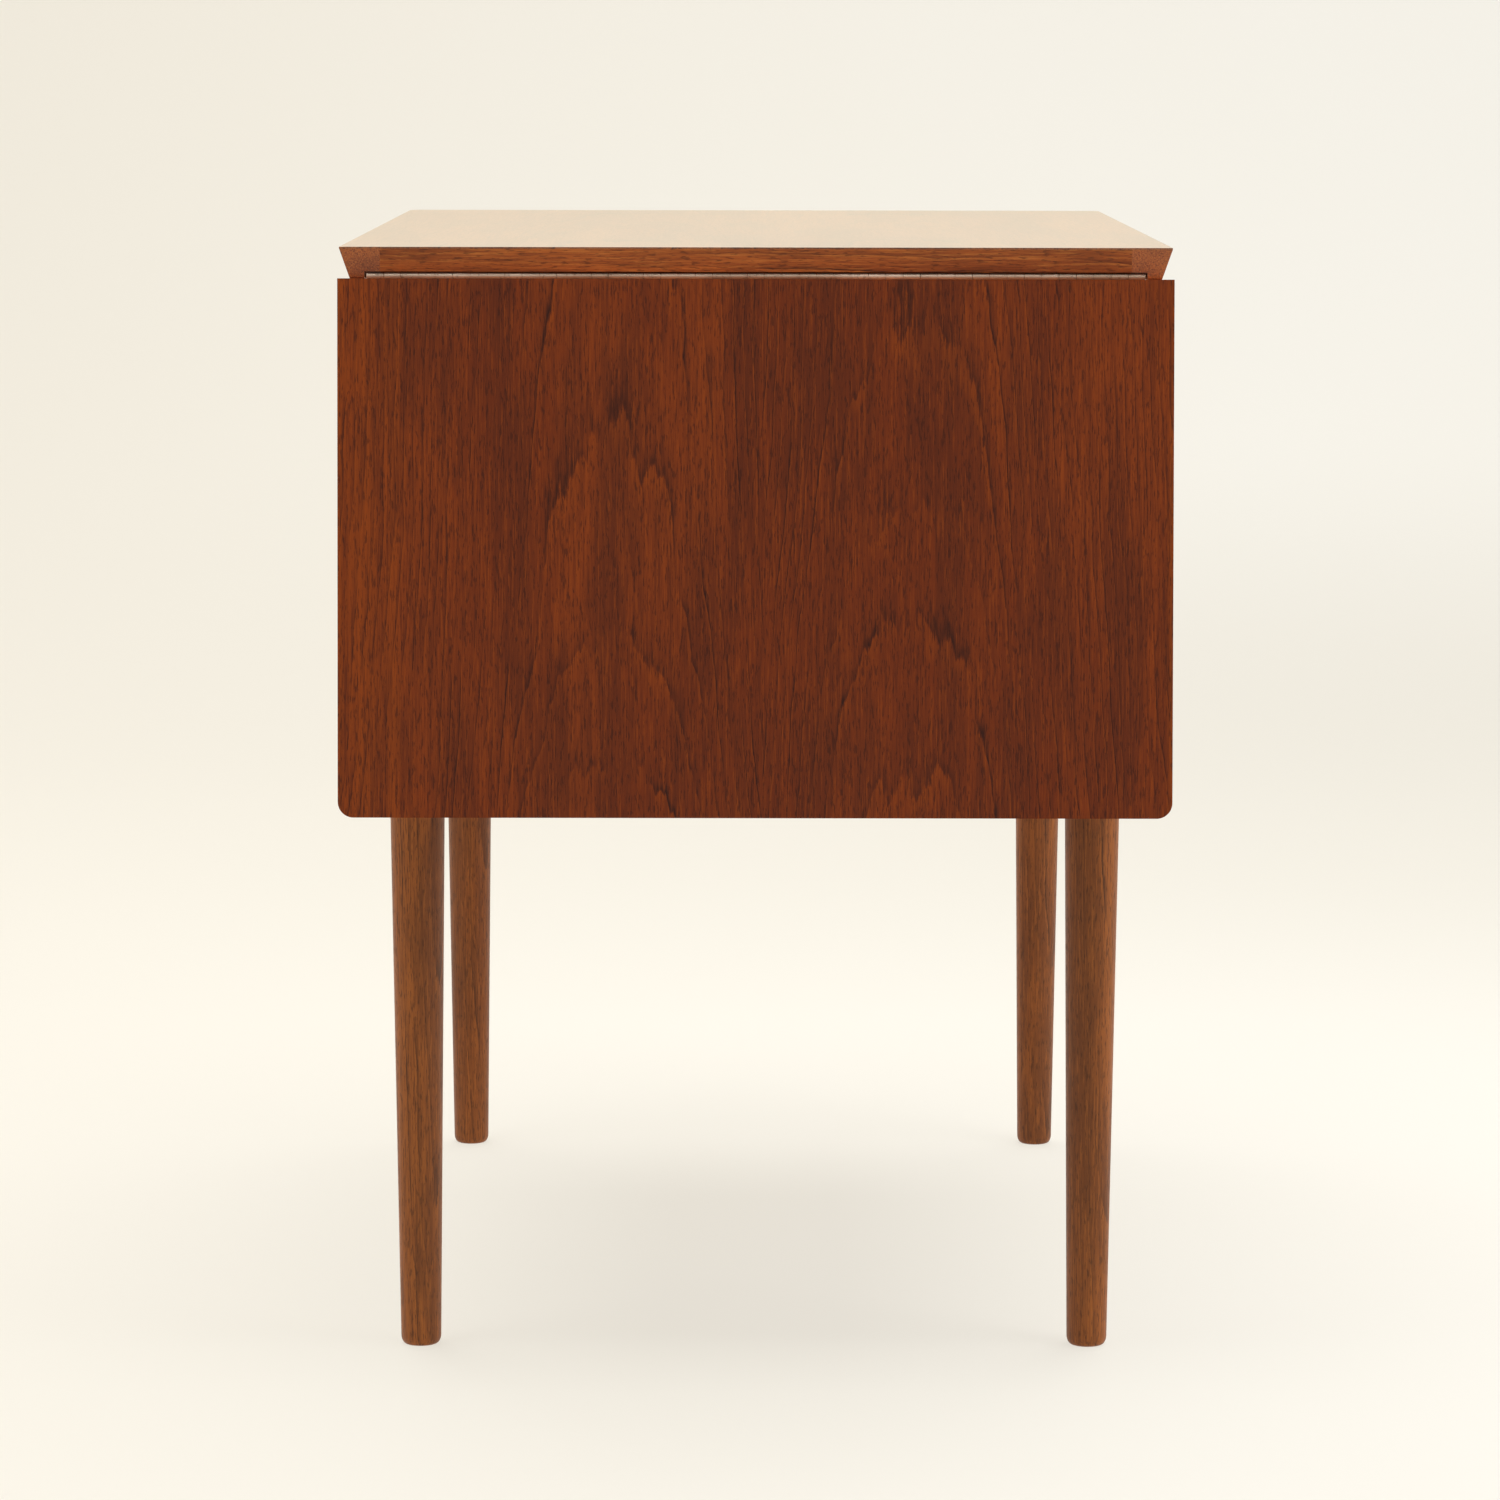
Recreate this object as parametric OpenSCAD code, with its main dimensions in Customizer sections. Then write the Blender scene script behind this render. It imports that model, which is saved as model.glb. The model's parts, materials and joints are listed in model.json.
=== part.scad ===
// Small sewing table: a veneered top on a case of three drawers and four turned legs, with a
// drop leaf on a piano hinge at one end and a swinging prop that carries the raised leaf.
// X runs across the table, the leaf end faces -Y, Z is up, and the origin is on the floor
// under the middle of the whole table as it stands with its leaf down.

/* [Top and leaf] */
// Width of the top and of the leaf
top_w = 450; // [370:5:540]
// Length of the fixed top
top_l = 600; // [500:5:720]
// Height of the table
table_h = 615; // [510:5:740]
// Thickness of both boards
top_t = 17.5; // [16:0.5:22]
// Thickness of the face veneer
veneer_t = 0.9; // [0.6:0.1:1.5]
// Width of the solid lippings around the cores
lipping_w = 22; // [20:1:30]
// How far the solid edges lean in from the veneer down to the underside
undercut = 5.8; // [2:0.1:7]
// Radius of the free corners, at the face
corner_r = 8.5; // [8:0.5:20]
// Length of the leaf
leaf_l = 290; // [240:2:350]
// Joint between the top and the raised leaf
leaf_gap = 0.5; // [0.4:0.1:1]
// Angle by which the hanging leaf leans out
leaf_lean = 6; // [4:0.5:8]

/* [Hinge] */
// Distance from each end of the piano hinge to the side of the top
hinge_end = 14.5; // [12:0.5:40]
// Number of knuckles, an odd number
knuckles = 45; // [31:2:51]
// Radius of a knuckle
knuckle_r = 1.7; // [1.4:0.05:2]
// Radius of the hinge pin
pin_r = 0.8; // [0.6:0.05:0.9]
// Width of one hinge plate, measured from the pin
plate_w = 15; // [12:0.5:18]
// Thickness of a hinge plate
plate_t = 0.8; // [0.6:0.1:1]
// Screws in one plate
hinge_screws = 8; // [5:1:10]

/* [Leaf support] */
// How far the prop's pivot lies below the top
prop_drop = 105; // [86:1:126]
// Angle through which the prop swings
prop_swing = 135; // [130:1:140]
// Width of the prop
prop_w = 30; // [24:1:40]
// Thickness of the prop
prop_t = 11; // [9:0.5:12]
// Radius of the prop's pivot pin
prop_pin_r = 2; // [1.5:0.25:3]
// Thickness of the stop block under the leaf
stop_t = 14; // [12:0.5:15]
// Distance of the stop block from the hinge pin
stop_s = 62; // [56:1:66]

/* [Case] */
// Inset of the case from the sides of the top
case_inset_x = 20; // [12:1:30]
// Inset of the case from the ends of the top
case_inset_y = 18; // [18:1:24]
// Thickness of the end panels
panel_t = 16; // [14:0.5:20]
// Thickness of the bottom board
bottom_t = 18; // [16:0.5:24]
// Thickness of the back
back_t = 12; // [9:0.5:16]
// Depth of the top rails, front to back
rail_w = 42; // [30:1:60]
// Height of the top rails
rail_t = 16; // [14:0.5:20]

/* [Drawers] */
// Height of the top drawer's front
front_h_top = 66; // [60:1:80]
// Height of the middle drawer's front
front_h_middle = 78; // [60:1:90]
// Height of the bottom drawer's front
front_h_bottom = 91; // [60:1:110]
// Thickness of the drawer fronts
front_t = 16; // [14:0.5:20]
// Gap around the drawer fronts
front_gap = 2; // [1.5:0.1:3]
// Thickness of the drawer sides
side_t = 12; // [11:0.5:14]
// Thickness of the drawer backs
drawer_back_t = 10; // [8:0.5:12]
// Thickness of the drawer bottoms
ply_t = 4; // [3:0.5:6]
// Height of a runner
runner_h = 11.4; // [10:0.2:14]
// Depth of the runner's groove in a drawer side
groove_d = 7; // [5:0.5:7.5]
// Distance between a drawer's two knobs
knob_spread = 260; // [180:5:320]
// How far a knob stands out
knob_out = 17; // [12:0.5:19]
// Radius of a knob
knob_r = 11; // [8:0.5:14]

/* [Legs] */
// Inset of a leg's axis from the side of the top
leg_inset_x = 38; // [34:1:50]
// Inset of a leg's axis from the end of the top
leg_inset_y = 34; // [34:1:50]
// Radius of a leg where it meets the case
leg_r = 15.3; // [13:0.1:16]
// Radius of a leg just above its foot
foot_r = 11.25; // [9:0.25:14]
// Radius of the hanger bolt that holds a leg
bolt_r = 4; // [3:0.5:5]

/* [Hidden] */
$fn = 48;

// Clearances
pin_play = 0.05;      // radial, between a pin and what turns on it
screw_play = 0.05;    // radial, between a fixing and its hole
hinge_play = 0.25;    // between a knuckle and the other plate
rest_play = 0.3;      // between pieces that come to rest on each other
swing_play = 1;       // beside and behind the prop
runner_play = 0.3;    // round a runner in its groove
side_play = 1;        // between a drawer side and the end panel
drawer_back_play = 5; // behind a closed drawer
cut = 1;              // how far a cutter reaches past a face

// Boards and hinge, from the underside of the top
under_z = table_h - top_t;
hinge_l = top_w - 2 * hinge_end;
hinge_inset = knuckle_r + pin_play;
axis_y = hinge_inset;
axis_z = under_z + hinge_inset;
arris = 1.2;
rebate_d = 2 * hinge_inset + 0.7;
rebate_h = 2 * hinge_inset + 0.8;
notch_w = hinge_l + 2 * swing_play;
plate_lo = 0.1 - knuckle_r;
plate_hi = plate_lo + plate_t;
knuckle_pitch = hinge_l / knuckles;
knuckle_l = knuckle_pitch - 0.3;
hinge_screw_y = 0.6 * plate_w;
hinge_screw_l = 11;
hinge_head_r = 2.5;
hinge_shank_r = 1.25;
leaf_reach = leaf_l + leaf_gap + hinge_inset;
face_off = top_t - hinge_inset;
leaf_out = leaf_reach * sin(leaf_lean) + face_off * cos(leaf_lean) - axis_y;
mid_y = (top_l - leaf_out) / 2;

// Case
case_x = top_w / 2 - case_inset_x;
near_y = case_inset_y;
far_y = top_l - case_inset_y;
in_near = near_y + panel_t;
in_far = far_y - panel_t;
case_h = bottom_t + rail_t + front_h_top + front_h_middle + front_h_bottom + 4 * front_gap;
case_z = under_z - case_h;
floor_z = case_z + bottom_t;
front_x = case_x - front_t;
back_x = back_t - case_x;
dowel_r = 4;
dowel_l = 32;
dowel_sink = 15;
top_screw_l = rail_t + 11;
top_screw_head_r = 4;
top_screw_shank_r = 2;

// Leaf support
plumb_y = axis_y - stop_s * sin(leaf_lean) + (hinge_inset + stop_t) * cos(leaf_lean);
bracket_y = plumb_y + rest_play;
pivot_y = bracket_y - swing_play - prop_t / 2;
pivot_z = under_z - prop_drop;
prop_reach = prop_drop - rest_play;
ear_t = 8;
ear_r = 7;
bracket_w = prop_w + 2 * (swing_play + ear_t);
bracket_top = 50;
bracket_foot = prop_drop + 45;
bracket_screw_r = 2;
bracket_screw_l = 20;
bracket_head_r = 4;
lean_tan = tan(leaf_lean);
back_tan = tan(180 - prop_swing);
tip_s = axis_y - pivot_y - prop_far(prop_t / 2) - rest_play;
stop_lip = (stop_t + (tip_s - stop_s) * lean_tan) / (1 + back_tan * lean_tan);

// Drawers
box_x = back_x + drawer_back_play;
side_drop = 10;
bottom_lift = 6;
bottom_let = 5;
runner_out = side_play + groove_d - runner_play;
tenon_r = 4;
tenon_l = 12;
knob_profile = [
    [0, -tenon_l], [tenon_r, -tenon_l], [tenon_r, 0], [0.6 * knob_r, 0], [0.5 * knob_r, 0.22 * knob_out],
    [0.55 * knob_r, 0.4 * knob_out], [0.93 * knob_r, 0.6 * knob_out], [knob_r, 0.74 * knob_out],
    [0.93 * knob_r, 0.87 * knob_out], [0.62 * knob_r, 0.97 * knob_out], [0, knob_out]
];
divider_t = 6;
divider_h = 34;
peg_r = 2.5;
peg_h = 30;
peg_sink = 5;
peg_rows = 3;
peg_files = 7;
peg_board_t = 8;

// Legs
leg_x = top_w / 2 - leg_inset_x;
leg_near = leg_inset_y;
leg_far = top_l - leg_inset_y;
foot_flat = 2.75;
foot_rise = 5;
bolt_down = 36;
insert_r = bolt_r + 2;
insert_l = bottom_t - 3;

teak = "#6a3a1e";
teak_edge = "#82482a";
teak_leg = "#744425";
beech = "#cfa877";
steel = "#9a8a78";
brass = "#a98b4a";

// Length along the prop, off to its leaf side by b, that comes up to prop_reach when raised
function prop_len(b) = (prop_reach - b * sin(prop_swing)) / -cos(prop_swing);
// How far out from the pivot that point then lies
function prop_far(b) = -prop_len(b) * sin(prop_swing) - b * cos(prop_swing);
// How far in from the face's outline an edge lies at depth z: upright beside the veneer, then leaning
function inset(z) = max(0, -z - veneer_t) * undercut / (top_t - veneer_t);

// ---- placing ----
module table() translate([0, -mid_y, 0]) children();

// Carries a piece drawn on the raised leaf down to where the leaf hangs
module hanging()
    table() translate([0, axis_y, axis_z]) rotate([90 - leaf_lean, 0, 0])
        translate([0, -axis_y, -axis_z]) children();

module on_top() table() translate([0, 0, table_h]) children();

module on_leaf() hanging() translate([0, -leaf_gap, table_h]) mirror([0, 1, 0]) children();

// An outline in Y and Z, drawn out along X
module across(w) translate([-w / 2, 0, 0]) rotate([90, 0, 90]) linear_extrude(w) children();

// A cylinder along X
module rod(r, l) rotate([0, 90, 0]) cylinder(h = l, r = r, center = true);

module block(w, y0, y1, z0, z1) translate([-w / 2, y0, z0]) cube([w, y1 - y0, z1 - z0]);

// A countersunk screw that goes up into the work from z = 0
module screw(head_r, shank_r, l, play = 0) {
    head_h = head_r - shank_r;
    difference() {
        union() {
            cylinder(h = head_h, r1 = head_r + play, r2 = shank_r + play);
            translate([0, 0, head_h]) cylinder(h = l - head_h + play, r = shank_r + play);
            if (play > 0) translate([0, 0, -cut]) cylinder(h = cut, r = head_r + play);
        }
        if (play == 0) translate([-head_r, -0.25, -cut]) cube([2 * head_r, 0.5, cut + 0.5]);
    }
}

// ---- boards ----
// A board from y = 0 to y = l with its face at z = 0: leaning edges, and round corners at its end
module slab(l, z_lo, z_hi) {
    half_lo = top_w / 2 - inset(z_lo);
    half_hi = top_w / 2 - inset(z_hi);
    straight = l - corner_r;
    translate([0, straight, 0]) rotate([90, 0, 0]) linear_extrude(straight)
        polygon([[-half_lo, z_lo], [half_lo, z_lo], [half_hi, z_hi], [-half_hi, z_hi]]);
    across(top_w - 2 * corner_r)
        polygon([[straight, z_lo], [l - inset(z_lo), z_lo], [l - inset(z_hi), z_hi], [straight, z_hi]]);
    for (side = [0, 1]) mirror([side, 0, 0])
        translate([top_w / 2 - corner_r, straight, 0]) rotate_extrude(angle = 90)
            polygon([
                [0, z_lo], [corner_r - inset(z_lo), z_lo], [corner_r - inset(z_hi), z_hi], [0, z_hi]
            ]);
}

module veneer(l) slab(l, -veneer_t, 0);

module core(l) block(top_w - 2 * lipping_w, lipping_w, l - lipping_w, -top_t, -veneer_t);

module side_lipping(l, side)
    intersection() {
        slab(l, -top_t, -veneer_t);
        translate([side * (top_w - lipping_w) / 2, 0, 0])
            block(lipping_w, -cut, l + cut, -top_t - cut, cut);
    }

module end_lipping(l)
    intersection() {
        slab(l, -top_t, -veneer_t);
        block(top_w - 2 * lipping_w, l - lipping_w, l + cut, -top_t - cut, cut);
    }

module hinge_lipping() block(top_w - 2 * lipping_w, 0, lipping_w, -top_t, -veneer_t);

// What the hinge needs cut out of the fixed top's near edge
module top_hinge_cut() {
    block(notch_w, -cut, rebate_d, -top_t - cut, rebate_h - top_t);
    block(notch_w, 0, axis_y + plate_w, -top_t - cut, hinge_inset + plate_hi - top_t);
    across(top_w + 2 * cut)
        polygon([
            [-cut, -top_t - cut], [arris + cut, -top_t - cut], [arris, -top_t], [0, arris - top_t],
            [-cut, arris + cut - top_t]
        ]);
    translate([0, axis_y, hinge_inset - top_t]) hinge_screw_row(screw_play);
}

// What it needs cut out of the leaf's hinge edge, in the leaf's own directions
module leaf_hinge_cut() {
    block(notch_w, -cut, plate_w - axis_y - leaf_gap, -top_t - cut, hinge_inset + plate_hi - top_t);
    translate([0, -axis_y - leaf_gap, hinge_inset - top_t]) hinge_screw_row(screw_play);
}

// ---- hinge, drawn from the pin with the plate towards +Y ----
module hinge_screw_row(play = 0)
    for (i = [0 : hinge_screws - 1])
        translate([(i - (hinge_screws - 1) / 2) * hinge_l / hinge_screws, hinge_screw_y, plate_lo])
            screw(hinge_head_r, hinge_shank_r, hinge_screw_l, play);

module hinge_plate(first) {
    root_y = knuckle_r + hinge_play;
    difference() {
        union() {
            block(hinge_l, root_y, plate_w, plate_lo, plate_hi);
            for (i = [first : 2 : knuckles - 1])
                translate([(i - (knuckles - 1) / 2) * knuckle_pitch, 0, 0]) {
                    rod(knuckle_r, knuckle_l);
                    block(knuckle_l, 0, root_y + cut, plate_lo, plate_hi);
                }
        }
        rod(pin_r + pin_play, hinge_l + 2 * cut);
        hinge_screw_row(screw_play);
    }
}

module hinge_side(first) table() translate([0, axis_y, axis_z]) hinge_plate(first);

// ---- nodes of the top ----
module top_veneer() color(teak) on_top() veneer(top_l);
module top_core() color(teak) difference() {
    on_top() core(top_l);
    table() rail_screws(screw_play);
}
module top_edge(side) color(teak_edge) on_top() difference() {
    side_lipping(top_l, side);
    top_hinge_cut();
}
module top_edge_front() color(teak_edge) on_top() difference() {
    hinge_lipping();
    top_hinge_cut();
}
module top_edge_back() color(teak_edge) on_top() end_lipping(top_l);
module hinge_plate_top() color(steel) hinge_side(0);
module hinge_pin() color(steel) table() translate([0, axis_y, axis_z]) rod(pin_r, hinge_l);
module hinge_screws_top() color(steel) table() translate([0, axis_y, axis_z]) hinge_screw_row();

// ---- nodes of the leaf ----
module leaf_veneer() color(teak) on_leaf() veneer(leaf_l);
module leaf_core() color(teak) on_leaf() difference() {
    core(leaf_l);
    stop_screws(screw_play);
}
module leaf_edge(side) color(teak_edge) on_leaf() difference() {
    side_lipping(leaf_l, side);
    leaf_hinge_cut();
}
module leaf_edge_end() color(teak_edge) on_leaf() end_lipping(leaf_l);
module leaf_edge_hinge() color(teak_edge) on_leaf() difference() {
    hinge_lipping();
    leaf_hinge_cut();
}
module hinge_plate_leaf() color(steel)
    hanging() translate([0, axis_y, axis_z]) mirror([0, 1, 0]) hinge_plate(1);

// The leaf's screws: its hinge plate's and its stop block's
module hinge_screws_leaf() color(steel) {
    hanging() translate([0, axis_y, axis_z]) mirror([0, 1, 0]) hinge_screw_row();
    on_leaf() stop_screws();
}
module stop_screws(play = 0)
    for (side = [-1, 1])
        translate([side * prop_w / 4, stop_s - hinge_inset - leaf_gap + stop_t / 2, -top_t - stop_t])
            screw(bracket_head_r, bracket_screw_r, bracket_screw_l + 4, play);

// The block that the raised prop leans against, and that rests on the bracket when the leaf hangs
module leaf_stop() color(teak_leg)
    on_leaf() difference() {
        translate([0, -hinge_inset - leaf_gap, -top_t])
            across(prop_w)
                polygon([
                    [stop_s, 0], [tip_s, 0], [tip_s - stop_lip * back_tan, -stop_lip],
                    [stop_s, -stop_t]
                ]);
        stop_screws(screw_play);
    }

// ---- case ----
module end_panel(y0) block(2 * case_x, y0, y0 + panel_t, floor_z, under_z);

module dowel_set(play = 0)
    for (y = [near_y + panel_t / 2, far_y - panel_t / 2])
        for (i = [-1.5 : 1 : 1.5])
            translate([i * case_x / 2, y, floor_z - dowel_sink - play])
                cylinder(h = dowel_l + 2 * play, r = dowel_r + play);

module case_end_near() color(teak) table() difference() {
    end_panel(near_y);
    dowel_set(screw_play);
    bracket_screws(screw_play);
}
module case_end_far() color(teak) table() difference() {
    end_panel(in_far);
    dowel_set(screw_play);
}
module case_back() color(teak)
    table() translate([-case_x, in_near, floor_z]) cube([back_t, in_far - in_near, under_z - floor_z]);
module case_bottom() color(teak) table() difference() {
    block(2 * case_x, near_y, far_y, case_z, floor_z);
    dowel_set(screw_play);
    for (x = [-leg_x, leg_x])
        for (y = [leg_near, leg_far])
            translate([x, y, case_z - cut]) cylinder(h = insert_l + cut, r = insert_r);
}
module case_dowels() color(beech) table() dowel_set();

module rail(x0) difference() {
    translate([x0, in_near, under_z - rail_t]) cube([rail_w, in_far - in_near, rail_t]);
    rail_screws(screw_play);
}
module top_screw_row(x, play = 0)
    for (y = [in_near + rail_w, top_l / 2, in_far - rail_w])
        translate([x, y, under_z - rail_t]) screw(top_screw_head_r, top_screw_shank_r, top_screw_l, play);
module case_rail_front() color(teak) table() rail(case_x - rail_w);
module case_rail_back() color(beech) table() rail(back_x);
module rail_screws(play = 0) {
    top_screw_row(case_x - rail_w / 2, play);
    top_screw_row(back_x + rail_w / 2, play);
}
module top_screws() color(brass) table() rail_screws();

// ---- prop ----
module prop_hole(play, l) translate([0, pivot_y, pivot_z]) rod(prop_pin_r + play, l);

module bracket_screws(play = 0)
    for (z = [bracket_top + 9, bracket_foot - 9])
        for (side = [-1, 1])
            translate([side * (bracket_w / 2 - 9), bracket_y, under_z - z]) rotate([-90, 0, 0])
                screw(bracket_head_r, bracket_screw_r, bracket_screw_l, play);

module prop_bracket() color(teak_leg) table() difference() {
    union() {
        block(bracket_w, bracket_y, near_y, under_z - bracket_foot, under_z - bracket_top);
        for (side = [-1, 1])
            translate([side * (bracket_w - ear_t) / 2, 0, 0]) {
                translate([0, pivot_y, pivot_z]) rod(ear_r, ear_t);
                block(ear_t, pivot_y, bracket_y + cut, pivot_z - ear_r, pivot_z + ear_r);
            }
    }
    prop_hole(0, bracket_w + 2 * cut);
    bracket_screws(screw_play);
}
module prop_pin() color(steel) table() prop_hole(0, bracket_w);
module prop_bracket_screws() color(steel) table() bracket_screws();

module support_prop() color(teak_leg) table() difference() {
    translate([0, pivot_y, pivot_z]) {
        rod(prop_t / 2, prop_w);
        across(prop_w)
            polygon([
                [-prop_t / 2, 0], [-prop_t / 2, -prop_len(prop_t / 2)],
                [prop_t / 2, -prop_len(-prop_t / 2)], [prop_t / 2, 0]
            ]);
    }
    prop_hole(pin_play, prop_w + 2 * cut);
}

// ---- drawers, each drawn from the bottom edge of its front ----
front_w = in_far - in_near - 2 * front_gap;
box_w = in_far - in_near - 2 * side_play;
box_near = in_near + side_play;
box_far = in_far - side_play;
box_l = front_x - box_x;
bay_w = (box_w - 2 * side_t - 2 * divider_t) / 3;
bottom_z = floor_z + front_gap;
middle_z = bottom_z + front_h_bottom + front_gap;
upper_z = middle_z + front_h_middle + front_gap;

function side_h(front_h) = front_h - side_drop;
function side_z(z) = z + side_drop / 2;
function runner_z(z, front_h) = side_z(z) + side_h(front_h) / 2;

module front(z, front_h) color(teak) table() difference() {
    translate([front_x, in_near + front_gap, z]) cube([front_t, front_w, front_h]);
    drawer_floor(z);
    knob_pair(z, front_h, screw_play);
}
module drawer_side(z, front_h, far) color(beech) table() difference() {
    translate([box_x, far ? box_far - side_t : box_near, side_z(z)]) cube([box_l, side_t, side_h(front_h)]);
    translate([
        box_x - cut, far ? box_far - groove_d : box_near - cut,
        runner_z(z, front_h) - runner_h / 2 - runner_play
    ])
        cube([box_l - front_t + cut, groove_d + cut, runner_h + 2 * runner_play]);
    drawer_floor(z);
}
module drawer_back(z, front_h) color(beech)
    table() translate([box_x, box_near + side_t, side_z(z) + bottom_lift + ply_t])
        cube([drawer_back_t, box_w - 2 * side_t, side_h(front_h) - bottom_lift - ply_t]);
module drawer_floor(z)
    translate([box_x, box_near + side_t - bottom_let, side_z(z) + bottom_lift])
        cube([box_l + bottom_let, box_w - 2 * (side_t - bottom_let), ply_t]);
module drawer_bottom(z) color(beech) table() drawer_floor(z);

module knob_pair(z, front_h, play = 0)
    for (side = [-1, 1])
        translate([case_x, top_l / 2 + side * knob_spread / 2, z + front_h / 2]) rotate([0, 90, 0])
            if (play > 0) translate([0, 0, -tenon_l - play]) cylinder(h = tenon_l + cut, r = tenon_r + play);
            else rotate_extrude() polygon(knob_profile);
module knobs(z, front_h) color(teak_leg) table() knob_pair(z, front_h);

module drawer_runners() color(beech) table()
    for (d = [[bottom_z, front_h_bottom], [middle_z, front_h_middle], [upper_z, front_h_top]])
        for (y = [in_near, in_far - runner_out])
            translate([box_x, y, runner_z(d[0], d[1]) - runner_h / 2])
                cube([box_l - 2 * front_t, runner_out, runner_h]);

// ---- inside the top drawer: two long dividers make three bays ----
tray_z = side_z(upper_z) + bottom_lift + ply_t;
tray_x = box_x + drawer_back_t;
tray_l = front_x - tray_x;
bay_near = box_near + side_t;

module thread_dividers() color(beech) table() {
    for (i = [1, 2])
        translate([tray_x, bay_near + i * bay_w + (i - 1) * divider_t, tray_z])
            cube([tray_l, divider_t, divider_h]);
    translate([tray_x + tray_l / 2, bay_near + 2 * (bay_w + divider_t), tray_z])
        cube([divider_t, bay_w, divider_h]);
}
module peg_grid(play = 0)
    for (i = [1 : peg_files])
        for (j = [1 : peg_rows])
            translate([
                tray_x + i * tray_l / (peg_files + 1), bay_near + j * bay_w / (peg_rows + 1),
                tray_z + peg_board_t - peg_sink - play
            ])
                cylinder(h = peg_sink + peg_h - peg_board_t + play, r = peg_r + play);
module spool_board() color(beech) table() difference() {
    translate([tray_x, bay_near, tray_z]) cube([tray_l, bay_w, peg_board_t]);
    peg_grid(screw_play);
}
module spool_pegs() color(beech) table() peg_grid();

// ---- legs ----
module leg(x, y) color(teak_leg) table() translate([x, y, 0]) difference() {
    rotate_extrude()
        polygon(concat(
            [[0, 0]],
            [for (a = [0 : 15 : 90]) [foot_r - foot_flat * (1 - sin(a)), foot_rise * (1 - cos(a))]],
            [[leg_r, case_z], [0, case_z]]
        ));
    translate([0, 0, case_z - bolt_down]) cylinder(h = bolt_down + cut, r = bolt_r);
}
module at_legs()
    table() for (x = [-leg_x, leg_x])
        for (y = [leg_near, leg_far])
            translate([x, y, case_z]) children();
module leg_bolts() color(steel)
    at_legs() translate([0, 0, -bolt_down]) cylinder(h = bolt_down + insert_l, r = bolt_r);
module leg_inserts() color(brass) at_legs() difference() {
    cylinder(h = insert_l, r = insert_r);
    translate([0, 0, -cut]) cylinder(h = insert_l + 2 * cut, r = bolt_r);
}

top_veneer();
top_core();
top_edge(-1);  // top_edge_left
top_edge(1);  // top_edge_right
top_edge_front();
top_edge_back();
hinge_plate_top();
hinge_pin();
hinge_screws_top();
case_end_near();
case_end_far();
case_back();
case_bottom();
case_rail_front();
case_rail_back();
case_dowels();
top_screws();
drawer_runners();
leg(-leg_x, leg_near);  // leg_near_left
leg(leg_x, leg_near);  // leg_near_right
leg(-leg_x, leg_far);  // leg_far_left
leg(leg_x, leg_far);  // leg_far_right
leg_bolts();
leg_inserts();
prop_bracket();
prop_pin();
prop_bracket_screws();
support_prop();
leaf_veneer();
leaf_core();
leaf_edge(-1);  // leaf_edge_left
leaf_edge(1);  // leaf_edge_right
leaf_edge_end();
leaf_edge_hinge();
hinge_plate_leaf();
hinge_screws_leaf();
leaf_stop();
front(upper_z, front_h_top);  // drawer_top_front
drawer_side(upper_z, front_h_top, false);  // drawer_top_side_near
drawer_side(upper_z, front_h_top, true);  // drawer_top_side_far
drawer_back(upper_z, front_h_top);  // drawer_top_back
drawer_bottom(upper_z);  // drawer_top_bottom
knobs(upper_z, front_h_top);  // drawer_top_knobs
thread_dividers();
spool_board();
spool_pegs();
front(middle_z, front_h_middle);  // drawer_middle_front
drawer_side(middle_z, front_h_middle, false);  // drawer_middle_side_near
drawer_side(middle_z, front_h_middle, true);  // drawer_middle_side_far
drawer_back(middle_z, front_h_middle);  // drawer_middle_back
drawer_bottom(middle_z);  // drawer_middle_bottom
knobs(middle_z, front_h_middle);  // drawer_middle_knobs
front(bottom_z, front_h_bottom);  // drawer_bottom_front
drawer_side(bottom_z, front_h_bottom, false);  // drawer_bottom_side_near
drawer_side(bottom_z, front_h_bottom, true);  // drawer_bottom_side_far
drawer_back(bottom_z, front_h_bottom);  // drawer_bottom_back
drawer_bottom(bottom_z);  // drawer_bottom_bottom
knobs(bottom_z, front_h_bottom);  // drawer_bottom_knobs
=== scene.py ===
# %% [markdown]
# # A small sewing table in teak
# The table arrives as a set of measured pieces, already joined and hinged. This script gives
# each piece its finish: crown-cut teak veneer on the top and the leaf, solid teak lippings,
# turned teak legs, beech drawers, and a bronzed piano hinge. Everything is in metres, with
# the floor at z = 0 and the leaf end of the table towards -Y.

# %% Load the pieces
import json
import math

import bpy
from mathutils import Euler, Matrix, Vector


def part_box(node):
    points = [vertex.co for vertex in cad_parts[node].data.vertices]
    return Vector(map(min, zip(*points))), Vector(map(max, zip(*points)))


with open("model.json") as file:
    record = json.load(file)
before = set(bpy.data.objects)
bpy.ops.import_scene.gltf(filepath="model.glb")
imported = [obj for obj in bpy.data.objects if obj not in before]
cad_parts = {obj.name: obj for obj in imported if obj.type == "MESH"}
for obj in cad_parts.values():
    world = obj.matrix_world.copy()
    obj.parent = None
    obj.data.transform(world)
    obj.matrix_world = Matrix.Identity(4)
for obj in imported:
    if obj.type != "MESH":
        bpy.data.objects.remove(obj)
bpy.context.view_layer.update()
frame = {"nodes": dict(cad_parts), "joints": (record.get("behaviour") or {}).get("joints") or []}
nodes = frame["nodes"]
scene = bpy.context.scene

# %% [markdown]
# ## The camera
# A long lens about three metres away looks squarely at the leaf end, from a little above the
# top. A short lens close by would also fill the picture, but it would splay the legs. The
# colours are shown through the plain Standard transform, so a dark red-brown stays one.

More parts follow.
